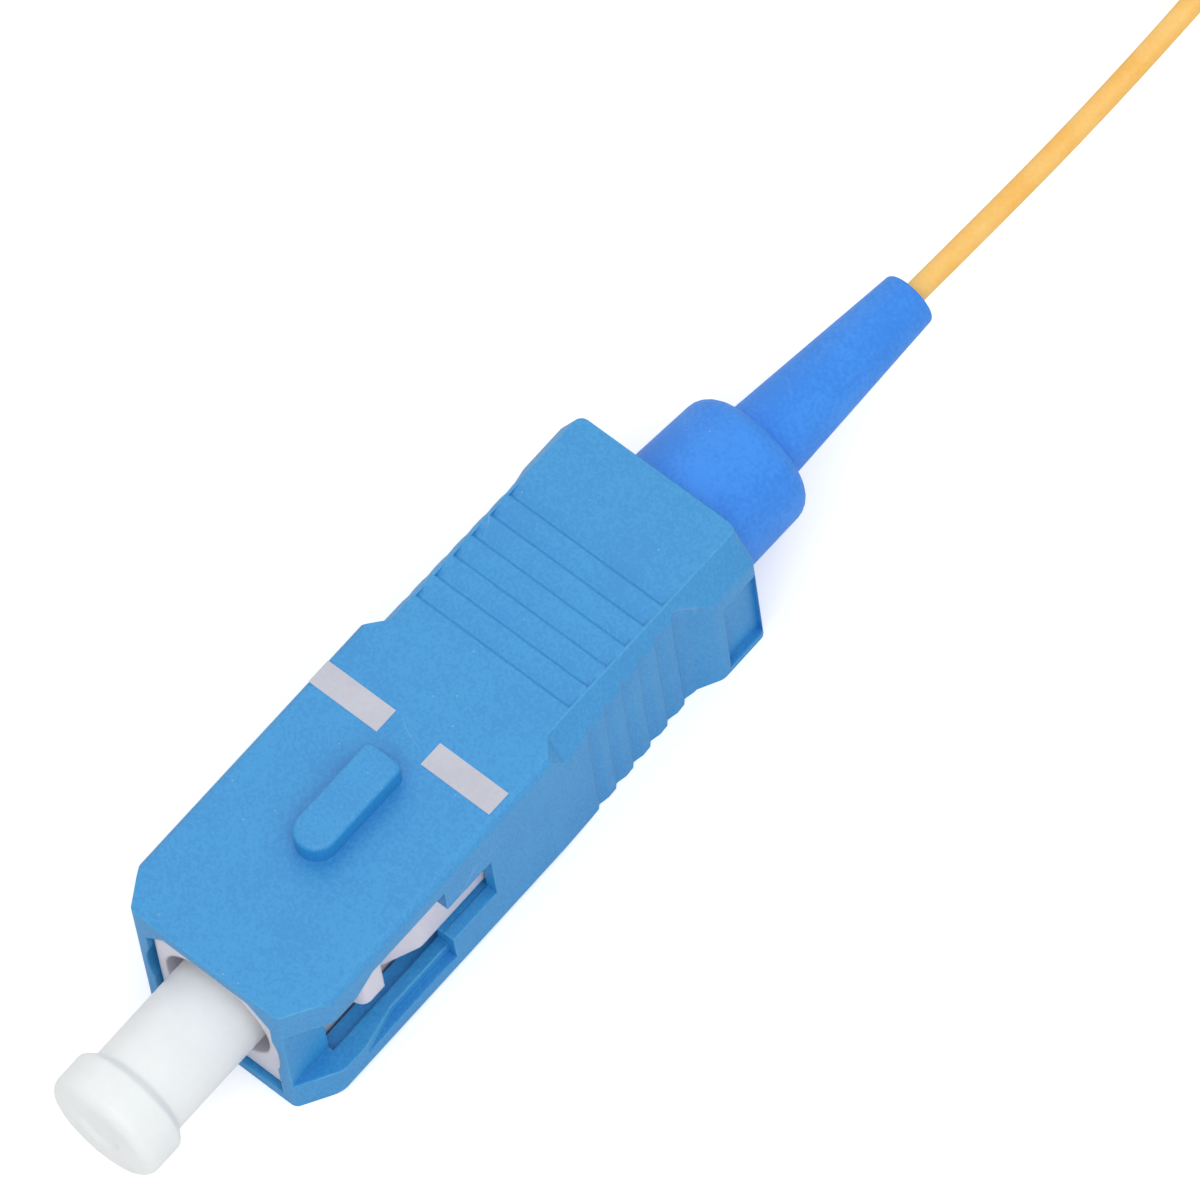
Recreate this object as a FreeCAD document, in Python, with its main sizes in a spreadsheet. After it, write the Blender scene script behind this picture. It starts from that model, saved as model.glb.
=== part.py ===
import FreeCAD, Part
import math
import os
import re
import Sketcher

# Simplex push-pull fibre connector with dust cap and pigtail lead, in millimetres.
# Origin: centre of the housing's nose plane, on the ferrule's axis.
# -Y is the mating direction, +Z is the key's side, and the housing's underside is the lowest face.

doc = FreeCAD.newDocument("fibre_connector")

SIZES = {
    # outer housing
    "housing_length": 25.0,
    "housing_width": 9.0,
    "housing_height": 7.4,
    "nose_width": 6.9,
    "nose_taper": 1.7,
    "edge_round": 0.4,
    "grip_length": 11.7,
    "bevel_setback": 0.3,
    "bevel_ramp": 0.9,
    "bevel_width": 0.8,
    "bevel_height": 1.6,
    "waist_length": 8.33,
    "waist_inset": 0.52,
    "waist_round": 0.2,
    "flare_length": 0.95,
    "flare_round": 0.6,
    "nose_round": 0.35,
    "taper_round": 0.6,
    "tail_round": 0.35,
    "rib_count": 6,
    "rib_setback": 2.45,
    "rib_pitch": 1.03,
    "groove_width": 0.62,
    "groove_wall": 0.16,
    "groove_floor": 0.22,
    "groove_depth": 0.12,
    "groove_margin": 0.08,
    "key_start": 5.4,
    "key_length": 4.7,
    "key_width": 1.7,
    "key_height": 1.0,
    "key_round": 0.2,
    "post_length": 2.05,
    "post_thickness": 0.52,
    "channel_width": 4.1,
    "channel_step": 7.8,
    "channel_end": 10.2,
    "window_width": 2.6,
    "wall_thickness": 0.85,
    "cavity_height": 4.8,
    "cavity_end": 11.5,
    "trough_depth": 0.6,
    "trough_width": 0.35,
    "trough_outer": 2.9,
    "trough_inner": 4.7,
    "recess_margin": 0.15,
    "recess_length": 1.85,
    "recess_width": 4.6,
    "recess_drop": 1.1,
    "recess_depth": 0.3,
    "rear_bore_diameter": 6.3,
    "opening_width": 7.3,
    "opening_height": 6.4,
    "opening_depth": 2.4,
    # printed marks
    "mark_setback": 2.5,
    "mark_width": 1.07,
    "mark_length": 3.22,
    "mark_gap": 2.08,
    "mark_shift": 0.13,
    "ink_thickness": 0.02,
    # plug frame
    "frame_width": 5.6,
    "frame_height": 6.0,
    "frame_recess": 0.25,
    "frame_end": 16.0,
    "frame_corner": 0.95,
    "frame_gap": 0.13,
    "under_gap": 0.2,
    "mouth_diameter": 4.9,
    "mouth_depth": 3.3,
    "ring_thickness": 0.9,
    "flange_bore_diameter": 4.6,
    "latch_reach": 3.85,
    "latch_width": 2.3,
    "latch_front": 3.45,
    "latch_length": 1.35,
    "latch_slope": 0.3,
    "latch_round": 0.45,
    "ramp_gap": 0.15,
    "ramp_length": 1.85,
    "ramp_foot": 0.23,
    "ramp_round": 0.6,
    "side_rim": 0.25,
    "block_reach": 3.85,
    "block_width": 2.4,
    "block_end": 12.5,
    "slot_gap": 0.15,
    "snap_setback": 2.1,
    "snap_length": 1.2,
    "snap_width": 1.8,
    "snap_gap": 0.1,
    # ferrule assembly
    "ferrule_diameter": 2.5,
    "ferrule_length": 10.5,
    "ferrule_reach": 3.5,
    "tip_chamfer": 0.35,
    "ring_clearance": 0.25,
    "flange_diameter": 4.3,
    "flange_gap": 0.05,
    "flange_length": 1.5,
    "keyway_width": 0.8,
    "keyway_depth": 0.45,
    "sleeve_wall": 0.3,
    "sleeve_back": 0.6,
    "tube_diameter": 1.4,
    "tube_bore_diameter": 1.0,
    "tube_overlap": 1.7,
    "ferrule_travel": 1.2,
    "glass_diameter": 0.125,
    "glass_clearance": 0.005,
    "strip_length": 0.2,
    "fibre_diameter": 0.9,
    # spring
    "wire_diameter": 0.4,
    "spring_turns": 5.5,
    "spring_clearance": 0.1,
    # stop ring
    "stop_insert": 3.2,
    "stop_clearance": 0.05,
    "stop_collar_diameter": 5.2,
    "stop_collar_length": 1.2,
    "stop_barrel_diameter": 3.6,
    "stop_barrel_length": 5.3,
    "slide_clearance": 0.1,
    # boot
    "boot_gap": 0.8,
    "boot_neck_diameter": 5.1,
    "boot_collar_inset": 1.0,
    "boot_collar_diameter": 5.9,
    "boot_show": 4.3,
    "shoulder_diameter": 5.6,
    "shoulder_round": 0.9,
    "boot_tail_diameter": 3.35,
    "boot_tail_length": 8.1,
    "boot_tip_diameter": 2.25,
    "boot_tip_round": 0.15,
    "boot_lean": 3.0,
    "lean_pivot": 14.0,
    "boot_fit": 0.05,
    "chamber_gap": 0.3,
    "fibre_fit": 0.05,
    # dust cap
    "cap_clearance": 0.03,
    "cap_barrel_diameter": 4.1,
    "cap_rim_diameter": 4.8,
    "cap_overlap": 1.9,
    "cap_reach": 6.2,
    "cap_rim_length": 1.85,
    "cap_wall": 0.9,
    "cap_round": 0.25,
    # wound lead
    "coil_x": -3.1,
    "coil_y": 63.0,
    "coil_columns": 6,
    "coil_layers": 7,
    "top_columns": 3,
    "coil_radius": 3.6,
    "coil_corner": 0.3,
    "tie_thickness": 0.12,
    "tie_angle": 30.0,
    "tie_turn": 150.0,
}

sheet = doc.addObject("Spreadsheet::Sheet", "Sizes")
for row, (alias, value) in enumerate(SIZES.items(), start=1):
    sheet.set("A%d" % row, alias.replace("_", " "))
    sheet.set("B%d" % row, str(value))
    sheet.setAlias("B%d" % row, alias)
doc.recompute()

ALIAS = re.compile(r"(?<![\w.])(%s)(?!\w)" % "|".join(sorted(SIZES, key=len, reverse=True)))


def linked(formula):
    """The formula with every named size read from the sheet."""
    return ALIAS.sub(r"Sizes.\1", formula)


def value(formula):
    """What a formula comes to, as a number."""
    result = sheet.evalExpression(linked(formula))
    return float(getattr(result, "Value", result))


def bind(feature, **formulas):
    for name, formula in formulas.items():
        feature.setExpression(name, linked(formula))


def new_body(name):
    body = doc.addObject("PartDesign::Body", name)
    body.Label = name
    return body


def origin_feature(body, role):
    return next(item for item in body.Origin.OriginFeatures if item.Role == role)


def sketch_on(body, name, plane, offset="0"):
    """An empty sketch on one of the body's own planes, or parallel to it at an offset."""
    sketch = body.newObject("Sketcher::SketchObject", name)
    sketch.AttachmentSupport = [(origin_feature(body, plane), "")]
    sketch.MapMode = "FlatFace"
    sketch.setExpression(".AttachmentOffset.Base.z", linked(offset))
    return sketch


def pin_point(sketch, line, end, across, up):
    """Hold one end of a line at two formulas, measured from the sketch's origin."""
    for kind, axis, formula in (("DistanceX", -2, across), ("DistanceY", -1, up)):
        if formula == "0":
            sketch.addConstraint(Sketcher.Constraint("PointOnObject", line, end, axis))
            continue
        index = sketch.addConstraint(
            Sketcher.Constraint(kind, -1, 1, line, end, value(formula)))
        sketch.setExpression("Constraints[%d]" % index, linked(formula))


def outline(sketch, corners):
    """A closed outline of straight lines through corners given as formulas."""
    points = [FreeCAD.Vector(value(across), value(up), 0) for across, up in corners]
    first = sketch.GeometryCount
    count = len(points)
    for index in range(count):
        sketch.addGeometry(Part.LineSegment(points[index], points[(index + 1) % count]))
    for index in range(count):
        following = first + (index + 1) % count
        sketch.addConstraint(Sketcher.Constraint("Coincident", first + index, 2, following, 1))
    for index, (across, up) in enumerate(corners):
        pin_point(sketch, first + index, 1, across, up)


def rectangle(sketch, left, right, low, high):
    outline(sketch, [(left, low), (right, low), (right, high), (left, high)])


def ring_outline(sketch, radius, across="0", up="0"):
    """A circle, about the sketch's origin or a point given as formulas."""
    centre = FreeCAD.Vector(value(across), value(up), 0)
    index = sketch.addGeometry(Part.Circle(centre, FreeCAD.Vector(0, 0, 1), value(radius)))
    pin_point(sketch, index, 3, across, up)
    held = sketch.addConstraint(Sketcher.Constraint("Radius", index, value(radius)))
    sketch.setExpression("Constraints[%d]" % held, linked(radius))


def revolved(body, kind, name, corners, angle="360"):
    """A Revolution or Groove of an outline (radius, y) about the body's Y axis."""
    sketch = sketch_on(body, name + "_profile", "XY_Plane")
    outline(sketch, corners)
    feature = body.newObject("PartDesign::" + kind, name)
    feature.Profile = sketch
    feature.ReferenceAxis = (sketch, ["V_Axis"])
    bind(feature, Angle=angle)
    return feature


def padded(body, name, sketch, length, both_ways=False, reverse=False):
    feature = body.newObject("PartDesign::Pad", name)
    feature.Profile = sketch
    feature.Midplane = both_ways
    feature.Reversed = reverse
    bind(feature, Length=length)
    return feature


def pocket(body, name, sketch, depth, both_ways=False):
    feature = body.newObject("PartDesign::Pocket", name)
    feature.Profile = sketch
    feature.Midplane = both_ways
    bind(feature, Length=depth)
    return feature


def block(body, kind, name, x, y, z):
    """An AdditiveBox or SubtractiveBox between pairs of formulas."""
    feature = body.newObject("PartDesign::" + kind, name)
    bind(feature,
         Length="(%s) - (%s)" % (x[1], x[0]),
         Width="(%s) - (%s)" % (y[1], y[0]),
         Height="(%s) - (%s)" % (z[1], z[0]))
    for axis, low in (("x", x[0]), ("y", y[0]), ("z", z[0])):
        feature.setExpression(".Placement.Base." + axis, linked(low))
    return feature


def edges_where(feature, test):
    """The names of the feature's edges that pass a test on their bounding box."""
    return ["Edge%d" % number for number, edge in enumerate(feature.Shape.Edges, start=1)
            if test(edge.BoundBox)]


def rounded(body, name, base, test, radius):
    """A fillet on the edges of the base feature that pass the test."""
    doc.recompute()
    feature = body.newObject("PartDesign::Fillet", name)
    feature.Base = (base, edges_where(base, test))
    bind(feature, Radius=radius)
    return feature


def near(first, second, tolerance=0.01):
    return abs(first - second) < tolerance


def both_sides():
    """The two sides of the connector: the sign, as a number and in a formula, and a name."""
    return ((1, "", "right"), (-1, "-", "left"))


def span(sign, low, high):
    """A pair of formulas at one side, in rising order."""
    if sign > 0:
        return (low, high)
    return ("-(%s)" % high, "-(%s)" % low)


# ---------------------------------------------------------------- outer housing

GRIP_START = "(housing_length - grip_length)"
FIRST_GROOVE = "(%s + rib_setback)" % GRIP_START
WAIST_END = "(%s + waist_length)" % GRIP_START
GROOVE_SHAPE = [("0", "0"), ("groove_wall", "groove_depth"), ("groove_floor", "groove_depth"),
                ("groove_width", "0")]


def housing_outline():
    """Plan of one side from the nose to the tail, with a notch for each grip groove."""
    slope = "waist_inset / waist_length"
    points = [("nose_width / 2", "0"),
              ("housing_width / 2", "nose_taper"),
              ("housing_width / 2", GRIP_START)]
    for rib in range(SIZES["rib_count"]):
        for along, depth in GROOVE_SHAPE:
            run = "(rib_setback + %d * rib_pitch + %s)" % (rib, along)
            points.append(("housing_width / 2 - %s * %s - %s" % (run, slope, depth),
                           "%s + %s" % (GRIP_START, run)))
    points += [("housing_width / 2 - waist_inset", WAIST_END),
               ("housing_width / 2", WAIST_END + " + flare_length"),
               ("housing_width / 2", "housing_length")]
    return points


def bevel_section(body, name, mark, along, share):
    """Section of a bevelled upper corner at a distance along the housing."""
    section = sketch_on(body, name, "XZ_Plane", "-" + along)
    across = mark + "(housing_width / 2 - %s * bevel_width)" % share
    outside = mark + "(housing_width / 2 + 1)"
    low = "housing_height / 2 - %s * bevel_height" % share
    high = "housing_height / 2 + 1"
    outline(section, [(across, "housing_height / 2"), (mark + "(housing_width / 2)", low),
                      (outside, low), (outside, high), (across, high)])
    return section


def outer_housing():
    body = new_body("outer_housing")
    half_height = value("housing_height / 2")

    plan = sketch_on(body, "plan", "XY_Plane")
    right = housing_outline()
    left = [("-(%s)" % across, up) for across, up in reversed(right)]
    outline(plan, right + left)
    shell = padded(body, "shell", plan, "housing_height", both_ways=True)

    flank = value("housing_width / 2")
    waist = value("housing_width / 2 - waist_inset")
    flare_end = value(WAIST_END + " + flare_length")
    back = value("housing_length")
    edge_height = value("bevel_height / 2")

    def upright_at(across, along):
        return lambda box: (box.ZLength > half_height and near(abs(box.Center.x), across)
                            and near(box.Center.y, along))

    flare_rounds = rounded(body, "flare_rounds", shell, upright_at(flank, flare_end), "flare_round")
    waist_rounds = rounded(body, "waist_rounds", flare_rounds, upright_at(waist, value(WAIST_END)),
                           "waist_round")
    taper_rounds = rounded(body, "taper_rounds", waist_rounds, upright_at(flank, value("nose_taper")),
                           "taper_round")
    rounded(body, "nose_rounds", taper_rounds, upright_at(value("nose_width / 2"), 0), "nose_round")

    # Softened long edges, from the nose until they run out on the waist.
    long_edges = sketch_on(body, "long_edges", "XZ_Plane")
    for side in ("", "-"):
        for level in ("", "-"):
            corner = [(side + "(housing_width / 2 - edge_round * %.4f)" % (1 - math.cos(angle)),
                       level + "(housing_height / 2 - edge_round * %.4f)" % (1 - math.sin(angle)))
                      for angle in (math.pi * step / 8 for step in range(5))]
            outline(long_edges, corner + [
                (side + "(housing_width / 2 - edge_round)", level + "(housing_height / 2 + 1)"),
                (side + "(housing_width / 2 + 1)", level + "(housing_height / 2 + 1)"),
                (side + "(housing_width / 2 + 1)", level + "(housing_height / 2 - edge_round)")])
    pocket(body, "edge_cut", long_edges, WAIST_END)

    # The two upper corners are bevelled to the tail, running in behind the grip's start.
    ramp_start = "(%s + bevel_setback)" % GRIP_START
    ramp_end = "(%s + bevel_ramp)" % ramp_start
    for _, mark, side in both_sides():
        full = bevel_section(body, side + "_bevel", mark, ramp_end, "1")
        pocket(body, side + "_bevel_cut", full, "grip_length")
        ramp = body.newObject("PartDesign::SubtractiveLoft", side + "_bevel_ramp")
        ramp.Profile = bevel_section(body, side + "_ramp_start", mark, ramp_start, "0.02")
        ramp.Sections = [bevel_section(body, side + "_ramp_end", mark, ramp_end, "1")]
        ramp.Ruled = True
        body.Tip = ramp
    # Rounded upright corners of the tail, each with the end of its bevel.
    rounded(body, "tail_rounds", ramp,
            lambda box: (near(box.YMin, back) and near(box.YMax, back) and box.ZLength > edge_height
                         and box.XMax * box.XMin > 0), "tail_round")

    # Grip grooves across the top and the underside, in line with those of the sides.
    for level, sign in (("top", ""), ("under", "-")):
        profile = sketch_on(body, level + "_groove_profile", "YZ_Plane")
        floor = [("%s + %s" % (FIRST_GROOVE, along), sign + "(housing_height / 2 - %s)" % depth)
                 for along, depth in GROOVE_SHAPE]
        above = sign + "(housing_height / 2 + 1)"
        outline(profile, floor + [(FIRST_GROOVE + " + groove_width", above), (FIRST_GROOVE, above)])
        groove = pocket(body, level + "_groove", profile,
                        "housing_width - 2 * (bevel_width + groove_margin)", both_ways=True)
        pattern = body.newObject("PartDesign::LinearPattern", level + "_grooves")
        pattern.Originals = [groove]
        pattern.Direction = (profile, ["H_Axis"])
        bind(pattern, Length="rib_pitch * (rib_count - 1)", Occurrences="rib_count")
        body.Tip = pattern

    # The key: full-round front, nearly square rear, softened rim.
    doc.recompute()
    key_plan = sketch_on(body, "key_plan", "XY_Plane", "housing_height / 2")
    rectangle(key_plan, "-key_width / 2", "key_width / 2", "key_start", "key_start + key_length")
    key = padded(body, "key", key_plan, "key_height")
    top_of_key = value("housing_height / 2 + key_height")

    def key_upright(along):
        return lambda box: (near(box.ZLength, value("key_height")) and near(box.Center.y, along)
                            and near(abs(box.Center.x), value("key_width / 2")))

    front_round = rounded(body, "key_front", key, key_upright(value("key_start")), "key_width * 0.49")
    rear_round = rounded(body, "key_rear", front_round,
                         key_upright(value("key_start + key_length")), "key_width * 0.22")
    rounded(body, "key_rim", rear_round,
            lambda box: near(box.ZMin, top_of_key) and near(box.ZMax, top_of_key), "key_round")

    # Nose opening and plug bore: the frame's own section plus its running gaps.
    bore = sketch_on(body, "bore", "XZ_Plane")
    outline(bore, frame_section("frame_gap", "under_gap"))
    pocket(body, "bore_cut", bore, "frame_end + slot_gap")
    rear = sketch_on(body, "rear_bore", "XZ_Plane")
    ring_outline(rear, "rear_bore_diameter / 2")
    pocket(body, "rear_cut", rear, "housing_length + 1")

    # Rear opening: wider than the bore, with round sides, so that the boot can lean in it.
    reach = "(opening_width - opening_height) / 2"
    opening = ("housing_length - opening_depth", "housing_length + 1")
    block(body, "SubtractiveBox", "opening_middle", ("-" + reach, reach), opening,
          ("-opening_height / 2", "opening_height / 2"))
    for _, mark, side in both_sides():
        end = sketch_on(body, side + "_opening_end", "XZ_Plane", "-(%s)" % opening[0])
        ring_outline(end, "opening_height / 2", mark + reach)
        pocket(body, side + "_opening_cut", end, "opening_depth + 1")

    # Side channels, the hollows behind their floors, which open as windows, and the slots in
    # which the frame's side blocks run.
    outside = "housing_width / 2 + 1"
    floor = "(frame_width / 2 + frame_gap + post_thickness)"
    wide = ("-channel_width / 2", "channel_width / 2")
    narrow = ("-window_width / 2", "window_width / 2")
    slot_width = "block_width / 2 + slot_gap"
    ledge = "(housing_width / 2 - trough_width)"
    slant = "(trough_inner - trough_outer) / trough_width"
    for sign, mark, side in both_sides():
        block(body, "SubtractiveBox", side + "_channel", span(sign, floor, outside),
              ("-1", "channel_step"), wide)
        block(body, "SubtractiveBox", side + "_channel_end", span(sign, floor, outside),
              ("channel_step - 1", "channel_end"), narrow)
        block(body, "SubtractiveBox", side + "_cavity",
              span(sign, "0", "housing_width / 2 - wall_thickness"), ("post_length", "cavity_end"),
              ("-cavity_height / 2", "cavity_height / 2"))
        block(body, "SubtractiveBox", side + "_slot", span(sign, "0", "latch_reach + slot_gap"),
              ("post_length", "block_end + slot_gap"), ("-(%s)" % slot_width, slot_width))
        # Troughs above and below the channel, with a slanted front end.
        trough = sketch_on(body, side + "_trough", "XY_Plane")
        outline(trough, [(mark + ledge, "trough_inner"),
                         (mark + "(%s)" % outside, "trough_outer - " + slant),
                         (mark + "(%s)" % outside, "channel_step"),
                         (mark + ledge, "channel_step")])
        pocket(body, side + "_trough_cut", trough, "channel_width + 2 * trough_depth", both_ways=True)

    # A shallow framed recess on each side of the tail.
    for sign, mark, side in both_sides():
        block(body, "SubtractiveBox", side + "_recess",
              span(sign, "housing_width / 2 - recess_depth", outside),
              ("housing_length - recess_margin - recess_length", "housing_length - recess_margin"),
              ("-recess_width / 2 - recess_drop", "recess_width / 2 - recess_drop"))
    return body


def position_mark(side, side_sign):
    """One printed bar on the housing's top, beside the key's line."""
    body = new_body("position_mark_" + side)
    plan = sketch_on(body, "print", "XY_Plane", "housing_height / 2")
    inner = "%s mark_gap / 2 - mark_shift" % side_sign
    outer = "%s (mark_gap / 2 + mark_length) - mark_shift" % side_sign
    low, high = (inner, outer) if side_sign == "+" else (outer, inner)
    start = GRIP_START + " - mark_setback"
    rectangle(plan, low, high, start, start + " + mark_width")
    padded(body, "ink", plan, "ink_thickness")
    return body


# ---------------------------------------------------------------- plug frame

SNAP_FRONT = "(frame_end - snap_setback)"
STOP_FRONT = "(frame_end - stop_insert)"
COLLAR_BACK = "(frame_end + stop_collar_length)"
STOP_END = "(%s + stop_barrel_length)" % COLLAR_BACK


def frame_section(gap, under="0"):
    """The plug frame's section with chamfered upper corners, grown by gaps."""
    wide = "(frame_width / 2 + %s)" % gap
    high = "(frame_height / 2 + %s)" % gap
    low = "-(frame_height / 2 + %s)" % under
    return [("-" + wide, low), (wide, low), (wide, high + " - frame_corner"),
            (wide + " - frame_corner", high), ("-(%s - frame_corner)" % wide, high),
            ("-" + wide, high + " - frame_corner")]


def softened(body, name, base, reach, run, width, radius):
    """Round the front upright edge of a side block, then the rims of its flank."""
    across = value(reach)
    start, end = value(run[0]), value(run[1])
    half = value(width + " / 2")
    nose = rounded(body, name + "_nose", base,
                   lambda box: (near(box.ZLength, 2 * half) and near(box.Center.x, across)
                                and near(box.Center.y, start)), radius)
    rounded(body, name + "_rim", nose,
            lambda box: (near(box.ZLength, 0) and near(abs(box.Center.z), half)
                         and near(box.Center.x, across) and near(box.YMax, end)), "side_rim")


def plug_frame():
    body = new_body("plug_frame")
    section = sketch_on(body, "section", "XZ_Plane", "-frame_recess")
    outline(section, frame_section("0"))
    padded(body, "block", section, "frame_end - frame_recess", reverse=True)

    # Latch shoulders and the ramped side blocks behind them, with rounded noses and rims.
    wall = "frame_width / 2"
    shoulder_end = "latch_front + latch_length"
    ramp_start = "(%s + ramp_gap)" % shoulder_end
    for _, mark, side in both_sides():
        latch = sketch_on(body, side + "_latch_plan", "XY_Plane")
        outline(latch, [(mark + "(%s - 0.5)" % wall, "latch_front"),
                        (mark + "(%s)" % wall, "latch_front"),
                        (mark + "latch_reach", "latch_front + latch_slope"),
                        (mark + "latch_reach", shoulder_end),
                        (mark + "(%s - 0.5)" % wall, shoulder_end)])
        latch_pad = padded(body, side + "_latch", latch, "latch_width", both_ways=True)
        softened(body, side + "_latch", latch_pad, mark + "latch_reach",
                 ("latch_front + latch_slope", shoulder_end), "latch_width", "latch_round")
        ramp = sketch_on(body, side + "_ramp_plan", "XY_Plane")
        outline(ramp, [(mark + "(%s - 0.5)" % wall, ramp_start),
                       (mark + "(%s + ramp_foot)" % wall, ramp_start),
                       (mark + "block_reach", ramp_start + " + ramp_length"),
                       (mark + "block_reach", "block_end"),
                       (mark + "(%s - 0.5)" % wall, "block_end")])
        ramp_pad = padded(body, side + "_ramp", ramp, "block_width", both_ways=True)
        softened(body, side + "_ramp", ramp_pad, mark + "block_reach",
                 (ramp_start + " + ramp_length", "block_end"), "block_width", "ramp_round")

    # Mouth for the adapter's sleeve, inner ring, and the bore behind it.
    ring_back = "mouth_depth + ring_thickness"
    ring_bore = "ferrule_diameter / 2 + ring_clearance"
    revolved(body, "Groove", "inside", [
        ("0", "-1"), ("mouth_diameter / 2", "-1"), ("mouth_diameter / 2", "mouth_depth"),
        (ring_bore, "mouth_depth"), (ring_bore, ring_back), ("flange_bore_diameter / 2", ring_back),
        ("flange_bore_diameter / 2", "frame_end + 1"), ("0", "frame_end + 1")])

    # Snap windows for the stop ring's tabs, through the top and the underside.
    block(body, "SubtractiveBox", "snap_windows",
          ("-snap_width / 2 - snap_gap", "snap_width / 2 + snap_gap"),
          (SNAP_FRONT + " - snap_gap", SNAP_FRONT + " + snap_length + snap_gap"),
          ("-frame_height", "frame_height"))
    return body


# ---------------------------------------------------------------- ferrule assembly

FERRULE_BACK = "(ferrule_length - ferrule_reach)"
FLANGE_FRONT = "(mouth_depth + ring_thickness + flange_gap)"
FLANGE_BACK = "(%s + flange_length)" % FLANGE_FRONT
SLEEVE_BACK = "(%s + sleeve_back)" % FERRULE_BACK


def ferrule():
    body = new_body("ferrule")
    radius = "ferrule_diameter / 2"
    hole = "(glass_diameter / 2 + glass_clearance)"
    revolved(body, "Revolution", "rod", [
        (hole, "-ferrule_reach"), (radius + " - tip_chamfer", "-ferrule_reach"),
        (radius, "-ferrule_reach + tip_chamfer * 1.6"), (radius, FERRULE_BACK),
        (hole, FERRULE_BACK)])
    return body


def ferrule_flange():
    body = new_body("ferrule_flange")
    seat = "ferrule_diameter / 2"
    sleeve = "ferrule_diameter / 2 + sleeve_wall"
    revolved(body, "Revolution", "turned", [
        (seat, FLANGE_FRONT), ("flange_diameter / 2", FLANGE_FRONT), ("flange_diameter / 2", FLANGE_BACK),
        (sleeve, FLANGE_BACK), (sleeve, SLEEVE_BACK), ("tube_diameter / 2", SLEEVE_BACK),
        ("tube_diameter / 2", FERRULE_BACK), (seat, FERRULE_BACK)])
    # Four keyways, by which the ferrule is turned to its best position.
    notch = block(body, "SubtractiveBox", "keyway", ("-keyway_width / 2", "keyway_width / 2"),
                  (FLANGE_FRONT + " - 1", FLANGE_BACK),
                  ("flange_diameter / 2 - keyway_depth", "flange_diameter"))
    pattern = body.newObject("PartDesign::PolarPattern", "keyways")
    pattern.Originals = [notch]
    pattern.Axis = (origin_feature(body, "Y_Axis"), [""])
    pattern.Angle = 360
    pattern.Occurrences = 4
    body.Tip = pattern
    return body


def guide_tube():
    body = new_body("guide_tube")
    tube_end = STOP_FRONT + " + tube_overlap"
    revolved(body, "Revolution", "tube", [
        ("tube_bore_diameter / 2", FERRULE_BACK), ("tube_diameter / 2", FERRULE_BACK),
        ("tube_diameter / 2", tube_end), ("tube_bore_diameter / 2", tube_end)])
    return body


def rod_piece(name, diameter, start, end):
    """A plain round length on the connector's axis."""
    body = new_body(name)
    revolved(body, "Revolution", "length", [
        ("0", start), (diameter + " / 2", start), (diameter + " / 2", end), ("0", end)])
    return body


def spring():
    """Compression spring between the flange and the stop ring, its wire drawn eight-sided."""
    body = new_body("spring")
    radius = "(ferrule_diameter / 2 + sleeve_wall + spring_clearance + wire_diameter / 2)"
    profile = sketch_on(body, "wire_section", "XY_Plane")
    corners = []
    for step in range(8):
        angle = math.pi * (step + 0.5) / 4
        corners.append(("%s + wire_diameter / 2 * (%.4f)" % (radius, math.cos(angle)),
                        "%s + wire_diameter / 2 * (%.4f)" % (FLANGE_BACK, 1 + math.sin(angle))))
    outline(profile, corners)
    coils = body.newObject("PartDesign::AdditiveHelix", "coils")
    coils.Profile = profile
    coils.ReferenceAxis = (profile, ["V_Axis"])
    coils.Mode = "height-turns-angle"
    bind(coils, Height="%s - %s - wire_diameter" % (STOP_FRONT, FLANGE_BACK), Turns="spring_turns")
    return body


# ---------------------------------------------------------------- stop ring and boot

def stop_ring():
    body = new_body("stop_ring")
    hole = "tube_diameter / 2 + slide_clearance"
    sleeve = "flange_bore_diameter / 2 - stop_clearance"
    revolved(body, "Revolution", "turned", [
        (hole, STOP_FRONT), (sleeve, STOP_FRONT), (sleeve, "frame_end"),
        ("stop_collar_diameter / 2", "frame_end"), ("stop_collar_diameter / 2", COLLAR_BACK),
        ("stop_barrel_diameter / 2", COLLAR_BACK), ("stop_barrel_diameter / 2", STOP_END),
        (hole, STOP_END)])
    # Snap tabs with a lead-in slope towards the front.
    for sign, name in (("", "top"), ("-", "under")):
        tab = sketch_on(body, name + "_tab_side", "YZ_Plane")
        outline(tab, [(SNAP_FRONT, sign + "(%s - sleeve_wall)" % sleeve),
                      (SNAP_FRONT, sign + "(flange_bore_diameter / 2)"),
                      (SNAP_FRONT + " + snap_length", sign + "(frame_height / 2 - snap_gap)"),
                      (SNAP_FRONT + " + snap_length", sign + "(%s - sleeve_wall)" % sleeve)])
        padded(body, name + "_tab", tab, "snap_width", both_ways=True)
    return body


def turned_round(radius, along, size, back):
    """Formula corners of a rounded outer edge of a turned piece, drawn in three flats.

    back is "+" where the end face lies behind the round and "-" where it lies in front.
    """
    corners = []
    for step in range(4):
        angle = math.radians(30 * step)
        corners.append(("%s - %s * %.4f" % (radius, size, 1 - math.cos(angle)),
                        "%s %s %s * (%.4f)" % (along, back, size, math.sin(angle) - 1)))
    return corners


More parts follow.
